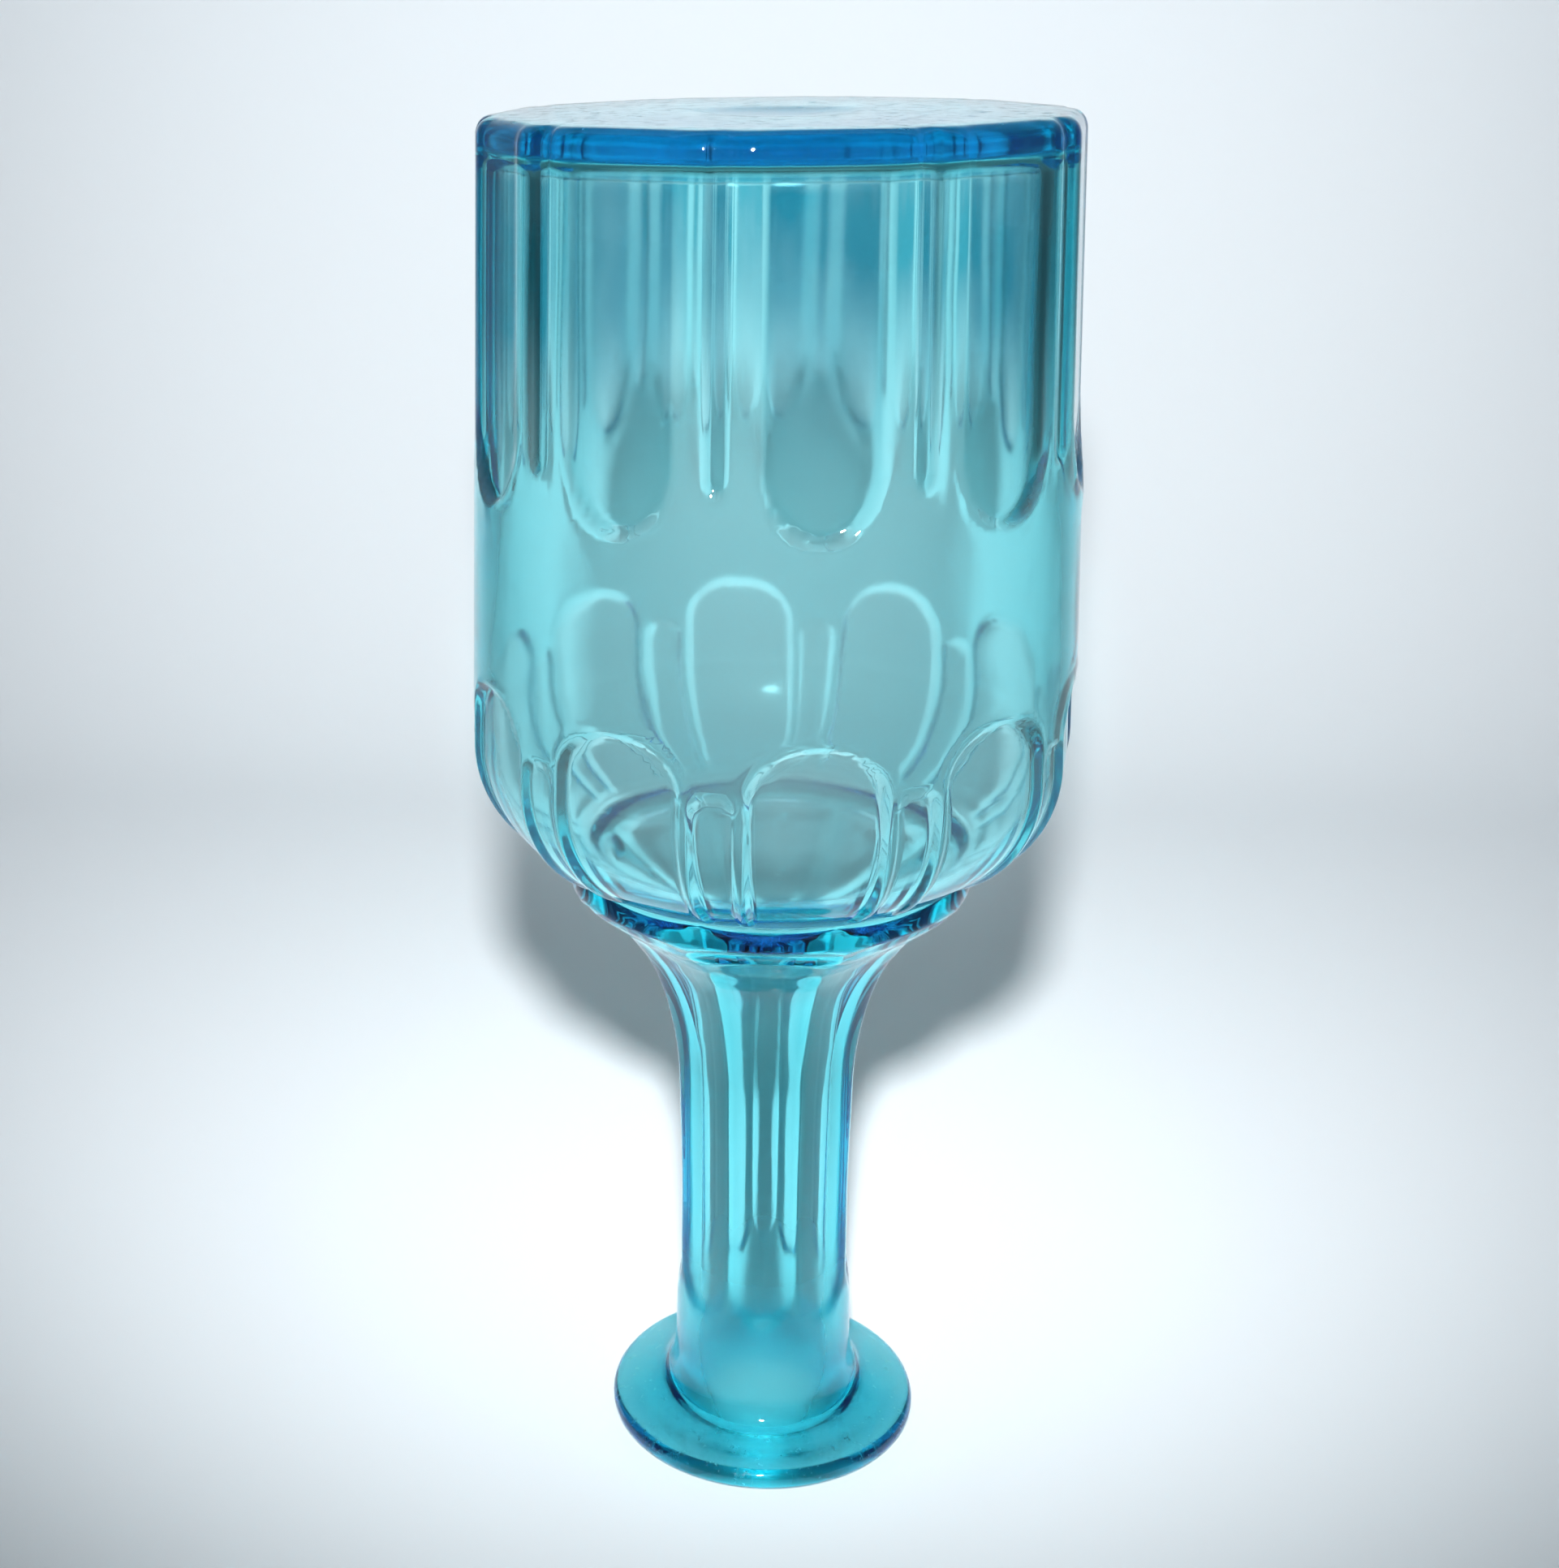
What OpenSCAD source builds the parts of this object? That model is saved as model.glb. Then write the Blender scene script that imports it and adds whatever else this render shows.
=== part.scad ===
// Moulded glass decanter bottle, stood on its lip with the flat base up.
// One piece of glass, kept as six zones that meet face to face on level planes.
// The origin is the middle of the lip's flat face, and +Z runs up the bottle's axis to its base.

/* [Body] */
// Largest diameter of the body, where the shoulder begins
body_d = 108; // [90:1:130]
// Diameter of the body at its base end, before the edge is rounded
base_d = 100.4; // [80:0.2:110]
// Height from the widest line of the body to the base plane
body_h = 106.9; // [70:0.1:150]
// Thickness of the body wall
body_wall_t = 3.2; // [2.5:0.1:5]
// Thickness of the base
base_t = 5; // [3.5:0.1:9]
// Radius round the outer edge of the base
base_edge_r = 2.7; // [1:0.1:4]
// Radius in the inner corner between wall and base
inner_corner_r = 3; // [1:0.1:8]
// Diameter of the ground hollow in the middle of the base
hollow_d = 28; // [16:1:40]
// Depth of the ground hollow
hollow_depth = 0.8; // [0.3:0.1:1.5]

/* [Pressed panels] */
// Number of wide panels round the body
panel_count = 10; // [6:1:14]
// Share of one pitch that a wide panel takes
panel_share = 0.6; // [0.4:0.01:0.64]
// Share of one pitch that each raised rib takes
rib_share = 0.135; // [0.08:0.005:0.16]
// Turn of the first wide panel about the axis, in degrees
panel_turn = 8; // [0:1:36]
// Depth of a wide panel at its middle
panel_depth = 1.35; // [1:0.05:1.8]
// Depth of a narrow flute
flute_depth = 1; // [0.5:0.05:1.5]
// Length of the wide panels down from the base plane
panel_len = 60; // [30:1:64]
// Length of the narrow flutes down from the base plane
flute_len = 53.5; // [25:0.5:60]
// Height of a wide shoulder arch above the widest line
arch_rise = 14; // [8:1:25]
// Height of a narrow shoulder arch above the widest line
small_arch_rise = 6.5; // [2:0.5:18]
// Depth of the shoulder arches
arch_depth = 1; // [0.5:0.05:1.5]

/* [Shoulder and collar] */
// Radius of the shoulder's curve
shoulder_r = 24; // [18:0.5:30]
// Thickness of the shoulder wall
shoulder_wall_t = 3.4; // [2.5:0.1:5]
// Diameter of the step where the shoulder meets the collar
step_d = 75.6; // [72:0.2:84]
// Height of the plain rim that the shoulder arches leave above the step
step_rim_h = 1; // [0.6:0.1:3]
// Ledge from the step in to the collar
ledge = 0.6; // [0.2:0.1:1.5]
// Radius of the collar's rounded bead
bead_r = 7.2; // [6:0.1:9]
// Height of the step above the middle of the bead
bead_rise = 3.6; // [2:0.1:5]
// Glass left between the collar and the hollow inside it
collar_wall_t = 3.8; // [3:0.1:6]

/* [Neck] */
// Diameter of the plain round neck
neck_d = 34.4; // [32:0.2:42]
// Diameter across the corners where the flare meets the collar
flare_d = 66; // [56:0.5:67]
// Length of the straight neck above the lip
neck_h = 70; // [50:1:90]
// Length of the flare from the straight neck to the collar
flare_h = 33; // [25:1:45]
// Number of flat facets round the neck
facet_count = 8; // [6:1:12]
// Turn of the first facet about the axis, in degrees
facet_turn = -1; // [-22:1:22]
// Depth of a facet at its middle
facet_depth = 1.05; // [0.6:0.05:1.1]
// Height of the facets' rounded ends above the lip's face
facet_start = 28; // [20:1:40]
// Diameter of the bore through lip and neck
bore_d = 25.6; // [20:0.2:26]

/* [Lip] */
// Diameter of the wide flat lip
lip_d = 60.8; // [50:0.2:72]
// Height of the lip zone, up to where the plain neck begins
lip_h = 9; // [7.5:0.5:14]
// Radius of the rounded rim of the lip
lip_rim_r = 2.2; // [1.5:0.1:3]
// Height of the lip's upper face where it reaches the neck
lip_slope_h = 7.4; // [5:0.1:7.5]

/* [Hidden] */
$fn = 96;
// radius of an arched end, as a share of the width that it spans
arch_share = 0.56;
// more than any radius here, and a margin by which cutting shapes run past what they cut
far = 100;
past = 1;
// how far the straight wall starts inside the shoulder's arc, so that the two cross cleanly
wall_set_in = 0.05;

body_r = body_d / 2;
base_r = base_d / 2;
step_r = step_d / 2;
neck_r = neck_d / 2;
flare_r = flare_d / 2;
bore_r = bore_d / 2;
lip_r = lip_d / 2;
bead_mid_r = step_r - ledge - bead_r;
collar_hollow_r = step_r - collar_wall_t;

// level planes, counted up from the lip's face
z_flare = lip_h + neck_h;
z_collar = z_flare + flare_h;
z_bead = z_collar + sqrt(pow(bead_r, 2) - pow(flare_r - bead_mid_r, 2));
z_step = z_bead + bead_rise;
shoulder_mid_r = body_r - shoulder_r;
shoulder_drop = sqrt(pow(shoulder_r, 2) - pow(max(0, step_r - shoulder_mid_r), 2));
z_wide = z_step + shoulder_drop;
z_base = z_wide + body_h;
z_floor = z_base - base_t;
z_wall = z_wide + arch_rise + 2;
z_disc = z_floor - inner_corner_r;

// slope of the body wall, and its radius at a height
taper = (body_r - base_r) / body_h;
function wall_r(z) = body_r - taper * (z - z_wide);

// the concave flare is an arc that leaves the straight neck without a corner
flare_arc_r = (pow(flare_h, 2) + pow(flare_r - neck_r, 2)) / (2 * (flare_r - neck_r));
flare_mid_r = neck_r + flare_arc_r;
facet_r = neck_r - facet_depth;
facet_top_r = flare_r * facet_r / neck_r;
facet_arc_r = (pow(flare_h, 2) + pow(facet_top_r - facet_r, 2)) / (2 * (facet_top_r - facet_r));
facet_w = 2 * neck_r * sin(180 / facet_count);

pitch = 360 / panel_count;
panel_a = pitch * panel_share;
flute_a = pitch * (1 - panel_share - 2 * rib_share);
// the seam of the turned outlines is kept on a rib, clear of every cut
seam_turn = panel_turn - 90 + (panel_share + rib_share) * pitch / 2;

// colours of the glass, from the thin wall to the thick base
thin_glass = [0.36, 0.70, 0.77, 0.6];
neck_glass = [0.42, 0.77, 0.87, 0.7];
edge_glass = [0.16, 0.60, 0.80, 0.8];

// ---- half outlines, radius across and height up ----

module lip_outline() {
    translate([lip_r - lip_rim_r, lip_rim_r]) circle(r = lip_rim_r);
    polygon([
        [0, 0],
        [lip_r - lip_rim_r, 0],
        [lip_r - lip_rim_r, 2 * lip_rim_r],
        [neck_r + 2, lip_slope_h],
        [neck_r, lip_h],
        [0, lip_h]
    ]);
}

module flare_outline() {
    difference() {
        translate([0, z_flare - past]) square([flare_r + past, flare_h + 2 * past]);
        translate([flare_mid_r, z_flare]) circle(r = flare_arc_r, $fn = 240);
        translate([neck_r, z_flare - 2 * past]) square([far, 2 * past]);
    }
}

module collar_outline() {
    intersection() {
        union() {
            translate([bead_mid_r, z_bead]) circle(r = bead_r);
            translate([0, z_collar - past]) square([bead_mid_r, z_step - z_collar + past]);
        }
        translate([0, z_collar - past]) square([far, z_step - z_collar + past]);
    }
}

// in: how far the shoulder and body are pulled in from the outer face, and how far the shoulder goes down
module body_outline(in = 0, z_low = z_step) {
    intersection() {
        union() {
            translate([shoulder_mid_r, z_wide]) circle(r = shoulder_r - in, $fn = 180);
            translate([0, z_wide - shoulder_r + in]) square([shoulder_mid_r, shoulder_r]);
        }
        translate([0, z_low]) square([far, z_base - z_low]);
    }
    polygon([
        [0, z_wide],
        [body_r - in - wall_set_in, z_wide],
        [base_r - in, z_base],
        [0, z_base]
    ]);
}

module rounded_body_outline() {
    difference() {
        body_outline();
        translate([base_r - base_edge_r, z_base - base_edge_r]) square(far);
    }
    translate([base_r - base_edge_r, z_base - base_edge_r]) circle(r = base_edge_r);
}

module outer_outline() {
    intersection() {
        union() {
            lip_outline();
            square([neck_r, z_collar]);
            flare_outline();
            collar_outline();
            rounded_body_outline();
        }
        square([far, z_base]);
    }
}

module hollow_outline() {
    floor_r = wall_r(z_floor) - body_wall_t;
    translate([0, -past]) square([bore_r, z_flare + 2 * past]);
    difference() {
        translate([0, z_flare]) square([collar_hollow_r, z_bead - z_flare]);
        translate([flare_mid_r, z_flare]) circle(r = flare_mid_r - bore_r, $fn = 240);
    }
    translate([0, z_bead]) square([collar_hollow_r, z_wide - z_bead]);
    intersection() {
        translate([shoulder_mid_r, z_wide]) circle(r = shoulder_r - shoulder_wall_t, $fn = 180);
        translate([0, z_bead]) square([far, z_floor - z_bead]);
    }
    polygon([
        [0, z_wide],
        [body_r - shoulder_wall_t - wall_set_in, z_wide],
        [floor_r, z_floor - inner_corner_r],
        [floor_r - inner_corner_r, z_floor],
        [0, z_floor]
    ]);
    translate([floor_r - inner_corner_r, z_floor - inner_corner_r]) circle(r = inner_corner_r);
}

// ---- cuts pressed into the outside ----

// a window with an arched end that looks out along +X: its end is at height z, and it runs towards dir
module window(w, z, dir, len) {
    end_r = arch_share * w;
    rotate([90, 0, 90]) linear_extrude(height = far) intersection() {
        union() {
            translate([0, z + dir * end_r]) circle(r = end_r, $fn = 64);
            translate([-w, dir > 0 ? z + end_r : z - end_r - len]) square([2 * w, len]);
        }
        translate([-w / 2, dir > 0 ? z - past : z - end_r - len]) square([w, len + end_r + past]);
    }
}

// flat panel, sunk below the sloping wall and open at the base end
module base_panel(a, depth, len) {
    z_end = z_base - len;
    w = 2 * wall_r(z_end) * sin(a / 2);
    intersection() {
        window(w, z_end, 1, len);
        rotate([90, 0, 0]) linear_extrude(height = w + 2 * past, center = true) polygon([
            [wall_r(z_end - past) - depth, z_end - past],
            [far, z_end - past],
            [far, z_base + past],
            [wall_r(z_base + past) - depth, z_base + past]
        ]);
    }
}

// arch that narrows with the shoulder and runs down to the step
module shoulder_arch(a, rise) {
    z_end = z_wide + rise;
    w = 2 * body_r * sin(a / 2) + past;
    difference() {
        intersection() {
            window(w, z_end, -1, z_end - z_bead);
            linear_extrude(height = z_base) polygon([
                [0, 0],
                [far, -far * tan(a / 2)],
                [far, far * tan(a / 2)]
            ]);
            translate([0, 0, z_step + step_rim_h]) cylinder(r = far, h = z_base - z_step);
        }
        rotate([0, 0, 180]) rotate_extrude($fn = 240) body_outline(arch_depth, z_collar);
    }
}

module base_panels() {
    for (i = [0 : panel_count - 1]) {
        rotate([0, 0, -90 + panel_turn + i * pitch]) base_panel(panel_a, panel_depth, panel_len);
        rotate([0, 0, -90 + panel_turn + (i + 0.5) * pitch]) base_panel(flute_a, flute_depth, flute_len);
    }
}

module shoulder_arches() {
    for (i = [0 : panel_count - 1]) {
        rotate([0, 0, -90 + panel_turn + i * pitch]) shoulder_arch(panel_a, arch_rise);
        rotate([0, 0, -90 + panel_turn + (i + 0.5) * pitch]) shoulder_arch(flute_a, small_arch_rise);
    }
}

// flat facet on the straight neck, with an arched lower end
module straight_facet() {
    intersection() {
        window(facet_w, facet_start, 1, z_flare - facet_start);
        translate([facet_r, -far / 2, 0]) cube([far, far, z_flare + past]);
    }
}

// flat facet that follows the flare up into the collar
module flare_facet() {
    rotate([90, 0, 0]) linear_extrude(height = far, center = true) intersection() {
        translate([facet_r + facet_arc_r, z_flare]) circle(r = facet_arc_r, $fn = 240);
        translate([facet_r, z_flare - past]) square([facet_arc_r, z_bead - z_flare + past]);
    }
}

// turns the child to each facet's place round the neck
module round_neck() {
    for (i = [0 : facet_count - 1]) {
        rotate([0, 0, -90 + facet_turn + i * 360 / facet_count]) children();
    }
}

// ---- the six zones ----

// plain turned glass between two level planes
module turned_zone(z0, z1) {
    rotate([0, 0, seam_turn]) rotate_extrude($fn = 240) intersection() {
        difference() {
            outer_outline();
            hollow_outline();
        }
        translate([0, z0]) square([far, z1 - z0]);
    }
}

module lip_ring() {
    color(neck_glass) turned_zone(0, lip_h);
}

module neck_tube() {
    color(neck_glass) difference() {
        turned_zone(lip_h, z_flare);
        round_neck() straight_facet();
    }
}

module collar_ring() {
    color(edge_glass) difference() {
        turned_zone(z_flare, z_step);
        round_neck() flare_facet();
    }
}

module shoulder_bowl() {
    color(thin_glass) difference() {
        turned_zone(z_step, z_wall);
        shoulder_arches();
    }
}

module body_wall() {
    color(thin_glass) difference() {
        turned_zone(z_wall, z_disc);
        base_panels();
    }
}

module base_disc() {
    ball_r = (pow(hollow_d / 2, 2) + pow(hollow_depth, 2)) / (2 * hollow_depth);
    color(edge_glass) difference() {
        turned_zone(z_disc, z_base);
        base_panels();
        translate([0, 0, z_base - hollow_depth + ball_r]) sphere(r = ball_r);
    }
}

lip_ring();
neck_tube();
collar_ring();
shoulder_bowl();
body_wall();
base_disc();
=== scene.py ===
# Moulded aqua glass decanter bottle, stood on its lip.
import math

import bpy
import numpy as np
from mathutils import Matrix, Vector


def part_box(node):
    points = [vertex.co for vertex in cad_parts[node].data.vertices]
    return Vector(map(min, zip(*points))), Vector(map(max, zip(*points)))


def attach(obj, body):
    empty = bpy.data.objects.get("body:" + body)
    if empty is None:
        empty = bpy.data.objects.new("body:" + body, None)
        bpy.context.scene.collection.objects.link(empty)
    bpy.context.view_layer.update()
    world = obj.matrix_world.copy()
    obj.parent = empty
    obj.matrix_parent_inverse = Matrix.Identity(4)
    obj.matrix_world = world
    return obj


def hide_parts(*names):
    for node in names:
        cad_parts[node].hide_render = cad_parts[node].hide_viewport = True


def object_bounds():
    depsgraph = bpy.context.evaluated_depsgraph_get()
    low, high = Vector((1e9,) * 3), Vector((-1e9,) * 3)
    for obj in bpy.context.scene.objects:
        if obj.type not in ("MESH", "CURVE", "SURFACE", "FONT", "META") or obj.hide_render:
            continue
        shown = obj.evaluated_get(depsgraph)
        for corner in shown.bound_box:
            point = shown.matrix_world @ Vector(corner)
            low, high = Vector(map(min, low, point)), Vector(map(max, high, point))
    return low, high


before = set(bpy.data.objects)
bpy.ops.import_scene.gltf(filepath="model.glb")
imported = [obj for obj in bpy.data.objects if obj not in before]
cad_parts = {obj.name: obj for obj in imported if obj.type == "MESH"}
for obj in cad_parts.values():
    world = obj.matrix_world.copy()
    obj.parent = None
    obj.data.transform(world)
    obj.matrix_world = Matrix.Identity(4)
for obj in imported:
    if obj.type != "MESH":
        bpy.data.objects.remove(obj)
cad_low, cad_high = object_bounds()
scene = bpy.context.scene
for thing in list(bpy.context.selected_objects):
    thing.select_set(False)


# ---- Camera ----
# Held a little above the flat base and tipped down at the bottle, as a person would hold it
# to look along the neck. Ordinary 49 mm lens.
tip_down = 0.35719
swing = -0.0764
roll = 0.0120
level = math.cos(tip_down)
look = Vector((math.sin(swing) * level, math.cos(swing) * level, -math.sin(tip_down)))
level_right = Vector((math.cos(swing), -math.sin(swing), 0.0))
level_down = look.cross(level_right)
right = level_right * math.cos(roll) + level_down * math.sin(roll)
down = -level_right * math.sin(roll) + level_down * math.cos(roll)
turned = Matrix((right, -down, -look)).transposed().to_4x4()
lens_data = bpy.data.cameras.new("camera")
lens_data.sensor_width = 36.0
lens_data.sensor_fit = "AUTO"
lens_data.lens = 49.413
lens_data.shift_x = 0.10396
lens_data.clip_start = 0.01
lens_data.clip_end = 20.0
camera = bpy.data.objects.new("camera", lens_data)
scene.collection.objects.link(camera)
camera.matrix_world = Matrix.Translation((0.0, -0.37028, cad_high.z + 0.02033)) @ turned
scene.camera = camera


# ---- Bottle ----
# One piece of thin aqua glass: base, panelled body, shoulder, collar, neck and flat lip.
# Blown into one mould, the lip tooled flat and the mouth ground inside, then fire-polished.
mm = 0.001
top = cad_high.z / mm
wide_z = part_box("body_wall")[0].z / mm - 16.0
wide_r = cad_high.x / mm
base_r = 50.2
edge_r = 2.7
shoulder_r, shoulder_r_inside = 24.0, 20.6
wall_t, shoulder_t = 3.2, 3.4
corner_r = 3.0
step_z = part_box("shoulder_bowl")[0].z / mm
lip_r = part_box("lip_ring")[1].x / mm - 0.1


def along(points, steps):
    return [
        (a[0] + (b[0] - a[0]) * k / n, a[1] + (b[1] - a[1]) * k / n)
        for a, b, n in zip(points, points[1:], steps)
        for k in range(n)
    ]


def arc(mid_r, mid_z, radius, start, end, steps):
    return [
        (mid_r + radius * math.cos(math.radians(start + (end - start) * k / steps)),
         mid_z + radius * math.sin(math.radians(start + (end - start) * k / steps)))
        for k in range(steps)
    ]


def wall(z):
    return wide_r - (wide_r - base_r) * (z - wide_z) / (top - wide_z)


# outside, from the middle of the base round to the mouth
outline = [(14.0 * k / 8, top - 0.8 * (1 - (k / 8) ** 2)) for k in range(8)]
outline += along([(14.0, top), (base_r - edge_r, top)], [8])
outline += arc(base_r - edge_r, top - edge_r, edge_r, 90, 0, 6)
# rows stand closer where panels, flutes and arches end
wall_z = [top - edge_r - 4.4 * k for k in range(9)] + [top - 39.3 - 0.92 * k for k in range(25)]
wall_z += [187.0, 183.0, 179.0, 175.0, 171.5, 168.0, 165.0, 163.0]
wall_z += [161.4 - 1.03 * k for k in range(16)]
outline += [(wall(z), z) for z in wall_z if z > wide_z + 0.4]
outline += arc(wide_r - shoulder_r, wide_z, shoulder_r, 0, -69.5, 24)
outline += [(38.1, 122.35), (37.85, 122.05), (37.5, 121.8), (37.15, 121.6)]
outline += arc(30.0, 118.55, 7.2, 22, -65.4, 14)
# flare and neck: height and half width across the flats
flats = [
    (112.0, 31.0), (111.0, 29.9), (110.0, 28.7), (109.0, 27.5), (108.0, 26.4), (107.0, 25.5),
    (106.0, 24.75), (105.0, 24.1), (104.0, 23.4), (103.0, 22.75), (101.5, 21.95), (100.0, 21.25),
    (98.5, 20.65), (97.0, 20.1), (95.5, 19.6), (94.0, 19.15), (92.5, 18.75), (91.0, 18.4),
    (89.5, 18.05), (88.0, 17.75), (86.0, 17.4), (84.0, 17.1), (82.0, 16.85), (79.0, 16.6),
    (75.0, 16.45), (70.0, 16.35), (64.0, 16.2), (58.0, 16.1), (52.0, 16.05), (46.0, 16.1),
    (41.0, 16.15), (38.0, 16.15), (36.5, 16.15), (35.5, 16.15), (34.5, 16.15), (33.5, 16.15),
    (32.5, 16.15), (31.5, 16.15), (30.5, 16.15), (29.5, 16.15), (28.5, 16.15), (27.5, 16.15),
    (26.0, 16.2),
]
outline += [(min(half * 1.068, 17.25 + max(0.0, z - 58.0) * 0.9), z) for z, half in flats]
outline += [
    (17.3, 23.5), (17.35, 20.0), (17.45, 16.5), (17.65, 14.0), (17.95, 12.0), (18.35, 10.5),
    (18.85, 9.4), (19.4, 8.6), (20.0, 8.0), (20.7, 7.5), (21.5, 7.1), (22.6, 6.65),
    (24.3, 6.05), (26.0, 5.4), (27.4, 4.75),
]
outline += arc(lip_r - 2.25, 2.25, 2.25, 78, -90, 12)
outline += [(lip_r - 2.25, 0.0), (26.0, 0.0), (22.0, 0.0), (18.0, 0.0), (15.6, 0.0)]
outline += arc(14.3, 1.3, 1.3, -90, -180, 3)
outside_rows = len(outline)
# inside, from the mouth up the bore to the middle of the floor
outline += along([(13.0, 1.3), (12.8, 45.0), (12.8, 79.0)], [7, 6])
outline += arc(59.56, 79.0, 46.76, 180, 131.6, 16)
outline += [(30.4, 115.8), (32.2, 117.8), (33.5, 119.8), (34.5, 121.8)]
outline += [(35.9, 123.7), (37.8, 125.3), (39.8, 126.5)]
outline += arc(wide_r - shoulder_r, wide_z, shoulder_r_inside, -58.0, 0, 14)
floor_z = top - 5.0
corner_mid = wall(floor_z) - wall_t - corner_r
outline += along([(wide_r - shoulder_t, wide_z), (wall(floor_z) - wall_t, floor_z - corner_r)], [12])
outline += arc(corner_mid, floor_z - corner_r, corner_r, 0, 90, 5)
outline += [(corner_mid, floor_z), (36.0, floor_z - 0.05), (27.0, floor_z - 0.15)]
outline += [(18.0, floor_z - 0.3), (9.0, floor_z - 0.4), (0.0, floor_z - 0.45)]

bpy.ops.mesh.primitive_plane_add(size=0.01, location=(0.0, 0.0, 0.0))
bottle = bpy.context.object
bottle.name = "bottle_glass"
bpy.ops.object.mode_set(mode="EDIT")
bpy.ops.mesh.select_all(action="SELECT")
bpy.ops.mesh.merge(type="CENTER")
bpy.ops.transform.translate(value=(0.0, 0.0, outline[0][1] * mm))
for here, there in zip(outline, outline[1:]):
    step = ((there[0] - here[0]) * mm, 0.0, (there[1] - here[1]) * mm)
    bpy.ops.mesh.extrude_region_move(TRANSFORM_OT_translate={"value": step})
bpy.ops.mesh.select_all(action="SELECT")
bpy.ops.mesh.spin(steps=360, angle=2 * math.pi, center=(0.0, 0.0, 0.0), axis=(0.0, 0.0, 1.0))
bpy.ops.mesh.select_all(action="SELECT")
bpy.ops.mesh.remove_doubles(threshold=2e-6)
bpy.ops.mesh.normals_make_consistent(inside=False)
bpy.ops.object.mode_set(mode="OBJECT")

count = len(bottle.data.vertices)
places = np.zeros(count * 3)
bottle.data.vertices.foreach_get("co", places)
places = places.reshape(-1, 3) / mm
radius = np.hypot(places[:, 0], places[:, 1])
height = places[:, 2].copy()
turn = np.degrees(np.arctan2(places[:, 0], -places[:, 1]))
rows = np.array(outline)
nearest = [
    np.argmin((rows[:, 0] - r) ** 2 + (rows[:, 1] - z) ** 2) for r, z in zip(radius, height)
]
outside = np.array(nearest) < outside_rows


def ease(value):
    value = np.clip(value, 0.0, 1.0)
    return value * value * (3.0 - 2.0 * value)


def least(a, b, soft):
    low = np.minimum(a, b)
    return low - soft * np.log(np.exp(-(a - low) / soft) + np.exp(-(b - low) / soft))


# the ten panels repeat every 36 degrees; mesh columns are drawn together where the ribs are
panel_turn = 8.0
folded = (turn - panel_turn + 18.0) % 36.0 - 18.0
centre = turn - folded
packed = np.interp(np.abs(folded), [0.0, 6.0, 16.0, 18.0], [0.0, 9.6, 16.6, 18.0])
on_body = np.where(outside, ease((height - 111.0) / 10.0), 0.0)
off = np.abs(folded) * (1 - on_body) + packed * on_body
angle = centre + np.sign(folded) * off
flute_off = 18.0 - off
arm = np.radians(1.0) * radius

# wide panels and narrow flutes that run down from the base: half width in degrees, height where
# the rounded end begins and how far it reaches
panel_half, panel_end_z, panel_end = 10.8, 203.4, 12.2
flute_half, flute_end_z, flute_end = 2.34, 201.6, 3.4
panel_deep, flute_deep = 1.35, 1.0
half_panel = arm * panel_half
past_round = np.maximum(0.0, panel_end_z - height) / panel_end
in_panel = (1.0 - np.sqrt((off / panel_half) ** 2 + past_round ** 2)) * half_panel
panel_cut = radius - (radius - panel_deep) / np.cos(np.radians(off))
panel_mask = ease(in_panel / 1.25)
past_flute = np.maximum(0.0, flute_end_z - height) / flute_end
in_flute = (1.0 - np.sqrt((flute_off / flute_half) ** 2 + past_flute ** 2)) * arm * flute_half
flute_mask = ease(in_flute / 1.1)
rib_place = arm * np.abs(off - 13.23) / 2.2
rib_round = 0.3 * np.minimum(rib_place, 1.0) ** 2 * ease((height - 194.0) / 10.0)
upper = panel_mask * panel_cut + flute_mask * flute_deep
upper = upper + (1 - panel_mask) * (1 - flute_mask) * rib_round
lip_line = 0.22 * np.exp(-((in_panel + 0.75) / 0.55) ** 2) * ease((206.0 - height) / 6.0)
from_edge = ease((radius - 41.0) / 8.5)
upper = (upper - lip_line) * (height > 180.0) * from_edge

# arches that run down over the shoulder, measured as the panels are
arch_half, arch_end_z, arch_end = 12.7, 150.2, 9.4
small_half, small_end_z, small_end = 4.35, 148.0, 3.2
past_arch = np.maximum(0.0, height - arch_end_z) / arch_end
in_arch = (1.0 - np.sqrt((off / arch_half) ** 2 + past_arch ** 2)) * arm * arch_half
arch_mask = ease(in_arch / 1.4)
past_small = np.maximum(0.0, height - small_end_z) / small_end
in_small = (1.0 - np.sqrt((flute_off / small_half) ** 2 + past_small ** 2)) * arm * small_half
small_mask = ease(in_small / 1.2)
arch_cut = 1.1 + 0.3 * (1 - (off / arch_half) ** 2)
lower = (arch_mask * arch_cut + small_mask * 0.9) * ease((height - 122.4) / 1.6)
arch_line = 0.18 * np.exp(-((in_arch + 0.7) / 0.5) ** 2) * ease((height - 151.0) / 4.0)
lower = (lower - arch_line) * (height < 170.0) * (height > 122.3)

# eight flats round the neck, pressed up under the collar
facet_turn = -1.0
flat_off = np.abs((angle - facet_turn + 22.5) % 45.0 - 22.5)
flat_z = [0.0, 26.0] + [z for z, half in reversed(flats)] + [113.0, 114.0, 115.0, 115.8, 116.5, 117.5]
flat_r = [16.2, 16.2] + [half for z, half in reversed(flats)] + [31.7, 32.3, 33.1, 34.6, 37.0, 42.0]
flat_reach = np.interp(height, flat_z, flat_r) / np.cos(np.radians(flat_off))
soft = 0.2 + 0.25 * ease((height - 85.0) / 20.0)
flattened = least(radius, flat_reach, soft)
flat_end = 26.5 + 7.0 * (flat_off / 22.5) ** 2
flat_amount = ease((height - flat_end) / 4.5) * (height < 121.0)

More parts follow.
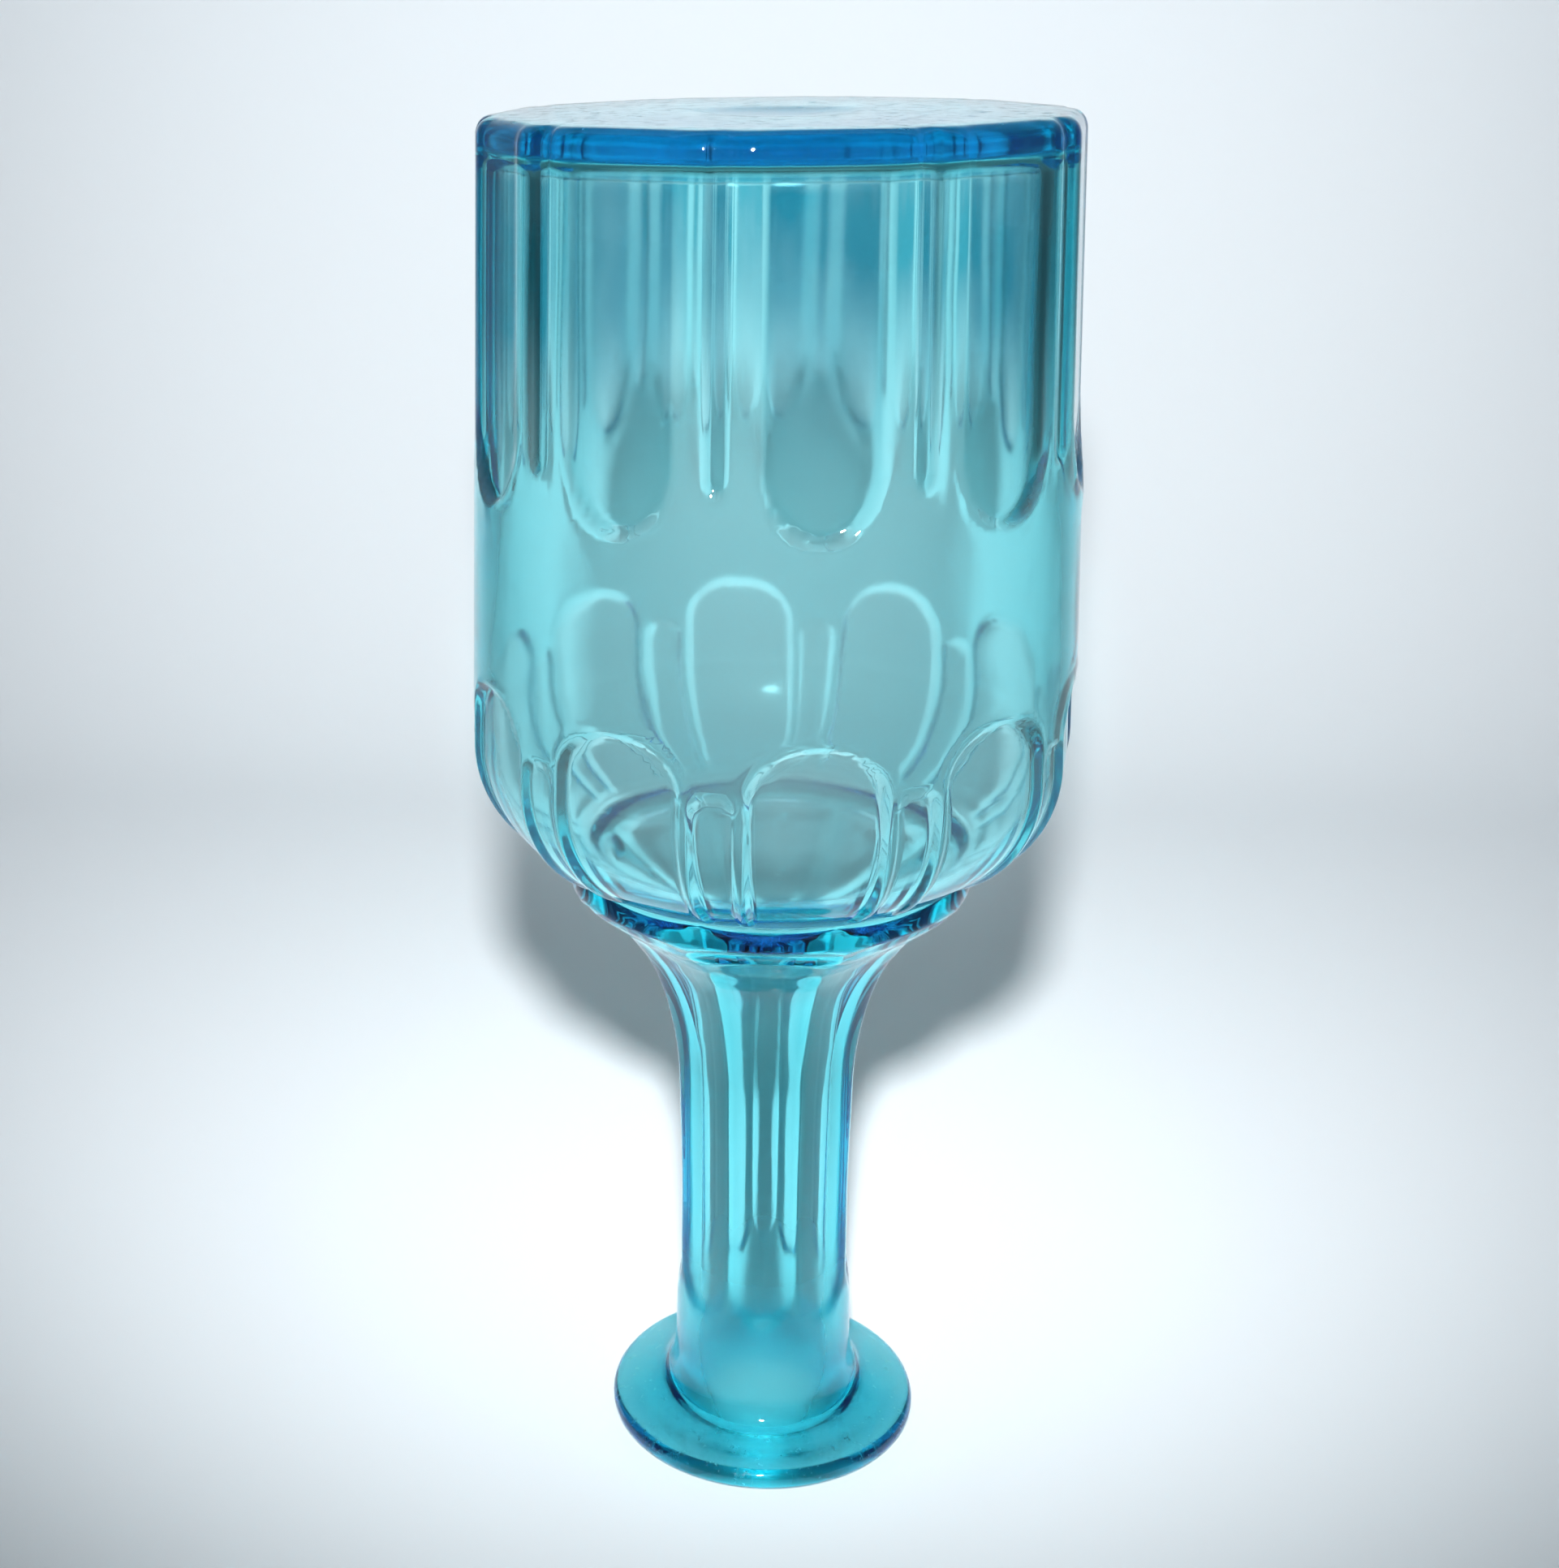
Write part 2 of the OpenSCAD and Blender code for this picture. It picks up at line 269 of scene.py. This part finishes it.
new_radius = radius - np.where(outside & (height > 122.3), upper + lower, 0.0)
on_neck = outside & (height > 20.0) & (height < 121.0)
new_radius = np.where(on_neck, radius + (flattened - radius) * flat_amount, new_radius)

# the inside was never touched by the mould, so it runs in slow waves
around = np.radians(turn)
wave = 0.10 * np.sin(2 * around + height / 23.0) + 0.07 * np.sin(5 * around - height / 13.0 + 1.0)
wave += 0.05 * np.sin(9 * around + height / 9.0 + 2.0)
inside_room = (~outside) & (height > 84.0)
new_radius = np.where(inside_room, new_radius + wave * ease((radius - 6.0) / 10.0), new_radius)
angle = np.where(outside, angle, turn)

# where the mould pressed the glass, and where the inside is
pressed = np.where(outside & (height > 180.0), np.maximum(panel_mask, flute_mask), 0.0) * from_edge
on_flats = outside & (height < 121.0) & (height > 30.0)
pressed = np.maximum(pressed, 0.6 * np.where(on_flats, ease((21.0 - flat_off) / 3.0), 0.0))
lined = np.where(outside, 0.0, 1.0)
for title, amount in (("pressed", pressed), ("lined", lined)):
    layer = bottle.data.attributes.new(title, "FLOAT", "POINT")
    layer.data.foreach_set("value", amount.astype(np.float32))
places[:, 0] = new_radius * np.sin(np.radians(angle))
places[:, 1] = -new_radius * np.cos(np.radians(angle))
bottle.data.vertices.foreach_set("co", (places * mm).ravel())
bottle.data.update()
bpy.ops.object.shade_smooth()

glass = bpy.data.materials.new("aqua_glass")
glass.use_nodes = True
nodes, links = glass.node_tree.nodes, glass.node_tree.links
nodes.clear()
out = nodes.new("ShaderNodeOutputMaterial")
skin = nodes.new("ShaderNodeBsdfPrincipled")
skin.inputs["Transmission Weight"].default_value = 1.0
skin.inputs["IOR"].default_value = 1.5
tint = nodes.new("ShaderNodeVolumeAbsorption")
tint.inputs["Density"].default_value = 170.0
tint.inputs["Color"].default_value = (0.0, 0.930, 0.984, 1.0)
links.new(skin.outputs["BSDF"], out.inputs["Surface"])
links.new(tint.outputs["Volume"], out.inputs["Volume"])


def reckon(kind, first, second, clamp=False):
    node = nodes.new("ShaderNodeMath")
    node.operation = kind
    node.use_clamp = clamp
    for slot, value in zip(node.inputs, (first, second)):
        if isinstance(value, (int, float)):
            slot.default_value = value
        else:
            links.new(value, slot)
    return node.outputs[0]


def times(first, second, clamp=False):
    return reckon("MULTIPLY", first, second, clamp)


def plus(first, second):
    return reckon("ADD", first, second)


def less(first, second):
    return reckon("SUBTRACT", first, second)


def ramp_of(value, low, high):
    node = nodes.new("ShaderNodeMapRange")
    node.interpolation_type = "SMOOTHSTEP"
    node.inputs["From Min"].default_value = low
    node.inputs["From Max"].default_value = high
    links.new(value, node.inputs["Value"])
    return node.outputs["Result"]


def grain(scale, detail, rough, stretch=(1.0, 1.0, 1.0)):
    place = nodes.new("ShaderNodeMapping")
    place.inputs["Scale"].default_value = stretch
    links.new(where.outputs["Object"], place.inputs["Vector"])
    node = nodes.new("ShaderNodeTexNoise")
    node.inputs["Scale"].default_value = scale
    node.inputs["Detail"].default_value = detail
    node.inputs["Roughness"].default_value = rough
    links.new(place.outputs["Vector"], node.inputs["Vector"])
    return node.outputs["Fac"]


def share_of(title):
    node = nodes.new("ShaderNodeAttribute")
    node.attribute_name = title
    return node.outputs["Fac"]


where = nodes.new("ShaderNodeTexCoord")
split_place = nodes.new("ShaderNodeSeparateXYZ")
links.new(where.outputs["Object"], split_place.inputs["Vector"])
up = split_place.outputs["Z"]
# painted shade: a darker teal base colour on the pressed panels and flutes, and more faintly on the
# neck flats, stands in for the shade seen through them; the inside is dulled by old use
panel_shade_mask = times(share_of("pressed"), ramp_of(up, 0.191, 0.226))
panel_shade_mask = times(panel_shade_mask, ramp_of(up, 0.2475, 0.2425))
neck_shade_mask = times(share_of("pressed"), ramp_of(up, 0.125, 0.110))
bloom = plus(times(ramp_of(up, 0.108, 0.125), 0.085), times(ramp_of(up, 0.170, 0.215), 0.045))
bloom = times(share_of("lined"), bloom)
uneven = times(ramp_of(grain(38.0, 3.0, 0.55, (1.0, 1.0, 0.45)), 0.30, 0.75), 0.5)
# how strongly the painted shade darkens the base colour, a little uneven
painted_shade_amount = times(plus(panel_shade_mask, times(neck_shade_mask, 0.35)), plus(0.75, uneven))
# painted shade: mixes the base colour from clear towards deep teal
shade = nodes.new("ShaderNodeMix")
shade.data_type = "RGBA"
shade.inputs["A"].default_value = (1.0, 1.0, 1.0, 1.0)
shade.inputs["B"].default_value = (0.02, 0.25, 0.35, 1.0)
links.new(times(painted_shade_amount, 0.9, True), shade.inputs["Factor"])
links.new(shade.outputs["Result"], skin.inputs["Base Color"])
# a trace of dry haze on the clear band and the shoulder
haze = times(ramp_of(up, 0.122, 0.145), ramp_of(up, 0.232, 0.196))
haze = times(haze, less(1.0, share_of("pressed")))
links.new(less(1.0, times(haze, 0.020)), skin.inputs["Transmission Weight"])
# ground mouth inside the lower neck, rubbed flat base, worn lip, dull inside of the body
ground = times(share_of("lined"), ramp_of(up, 0.050, 0.030))
rubbed = ramp_of(up, top * mm - 0.0012, top * mm - 0.0002)
scuffs = ramp_of(grain(420.0, 4.0, 0.7), 0.52, 0.70)
rough_sum = plus(times(ground, 0.34), times(rubbed, plus(0.10, times(scuffs, 0.25))))
rough_sum = plus(rough_sum, bloom)
rough_sum = plus(rough_sum, times(panel_shade_mask, 0.03))
worn = times(ramp_of(up, 0.0095, 0.0065), plus(0.05, times(scuffs, 0.30)))
rough_sum = plus(rough_sum, worn)
links.new(rough_sum, skin.inputs["Roughness"])
# slow waves of hand work and fine seeds in the surface
relief = nodes.new("ShaderNodeBump")
relief.inputs["Strength"].default_value = 0.25
relief.inputs["Distance"].default_value = 0.0006
slow = grain(55.0, 2.0, 0.5, (1.0, 1.0, 0.5))
links.new(plus(slow, times(grain(700.0, 3.0, 0.6), 0.02)), relief.inputs["Height"])
links.new(relief.outputs["Normal"], skin.inputs["Normal"])
bottle.data.materials.clear()
bottle.data.materials.append(glass)
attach(bottle, "root")
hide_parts("lip_ring", "neck_tube", "collar_ring", "shoulder_bowl", "body_wall", "base_disc")


# ---- Table and sweep ----
# Matt white card laid flat and curved up behind, as for a small studio shot.
bpy.ops.object.select_all(action="DESELECT")
bpy.ops.mesh.primitive_grid_add(x_subdivisions=4, y_subdivisions=400, size=8.0)
card = bpy.context.object
card.name = "card"
bend_start, bend_r = 0.34, 0.26
for v in card.data.vertices:
    run = v.co.y - bend_start
    if run > 0:
        bow = min(run / bend_r, math.pi / 2)
        rise = max(0.0, run - bend_r * math.pi / 2)
        v.co.y = bend_start + bend_r * math.sin(bow)
        v.co.z = bend_r * (1 - math.cos(bow)) + rise
bpy.ops.object.shade_smooth()
paper = bpy.data.materials.new("white_card")
paper.use_nodes = True
sheet = paper.node_tree.nodes["Principled BSDF"]
sheet.inputs["Base Color"].default_value = (0.84, 0.89, 0.93, 1.0)
sheet.inputs["Roughness"].default_value = 0.9
card.data.materials.append(paper)


# ---- Light ----
# A small soft key just above the camera throws the shadow behind. Two faint lamps stand in for
# light that the glass lets through, one washes the sweep, one lights the table in front, and
# pale room light fills the rest.
def aim(lamp, point):
    lamp.rotation_euler = (Vector(point) - lamp.location).to_track_quat("-Z", "Y").to_euler()


key_data = bpy.data.lights.new("key", "SPOT")
key_data.energy = 33.0
key_data.spot_size = math.radians(77.0)
key_data.spot_blend = 1.0
key_data.shadow_soft_size = 0.016
key = bpy.data.objects.new("key", key_data)
scene.collection.objects.link(key)
key.location = (-0.003, -0.406, 0.374)
aim(key, (0.0, 0.45, 0.12))

# what the clear walls and the lip let through into the shadow behind
for title, reach, power, cone in (("through_body", 0.202, 9.0, 17.0), ("through_lip", 0.002, 1.9, 7.2)):
    through_data = bpy.data.lights.new(title, "SPOT")
    through_data.energy = power
    through_data.color = (0.62, 0.97, 1.0)
    through_data.spot_size = math.radians(cone)
    through_data.spot_blend = 0.5
    through_data.shadow_soft_size = 0.016
    through_data.use_shadow = False
    through = bpy.data.objects.new(title, through_data)
    scene.collection.objects.link(through)
    through.location = key.location
    aim(through, (0.0, 0.0, reach))

wash_data = bpy.data.lights.new("wash", "AREA")
wash_data.energy = 0.20
wash_data.shape = "RECTANGLE"
wash_data.size = 1.6
wash_data.size_y = 0.4
wash_data.spread = math.radians(120.0)
wash = bpy.data.objects.new("wash", wash_data)
scene.collection.objects.link(wash)
wash.location = (0.0, 0.20, 1.0)
aim(wash, (0.0, 0.55, 0.12))
wash.visible_camera = False

# the table in front of the bottle, which the key leaves dark
fore_data = bpy.data.lights.new("fore", "AREA")
fore_data.energy = 7.0
fore_data.shape = "RECTANGLE"
fore_data.size = 3.0
fore_data.size_y = 1.2
fore_data.spread = math.radians(100.0)
fore = bpy.data.objects.new("fore", fore_data)
scene.collection.objects.link(fore)
fore.location = (0.0, -1.6, 1.1)
fore.visible_camera = False

room = bpy.data.worlds.new("room")
room.use_nodes = True
air, joins = room.node_tree.nodes, room.node_tree.links
way = air.new("ShaderNodeTexCoord")
split = air.new("ShaderNodeSeparateXYZ")
fade = air.new("ShaderNodeValToRGB")
fade.color_ramp.elements[0].position = 0.0
fade.color_ramp.elements[0].color = (0.17, 0.185, 0.195, 1.0)
fade.color_ramp.elements[1].position = 0.55
fade.color_ramp.elements[1].color = (0.06, 0.065, 0.07, 1.0)
joins.new(way.outputs["Generated"], split.inputs["Vector"])
joins.new(split.outputs["Z"], fade.inputs["Fac"])
joins.new(fade.outputs["Color"], air["Background"].inputs["Color"])
scene.world = room
scene.view_settings.view_transform = "Standard"
scene.cycles.max_bounces = 32
scene.cycles.transmission_bounces = 32
scene.cycles.glossy_bounces = 16
scene.cycles.caustics_reflective = False
scene.cycles.caustics_refractive = True
scene.cycles.sample_clamp_indirect = 6.0
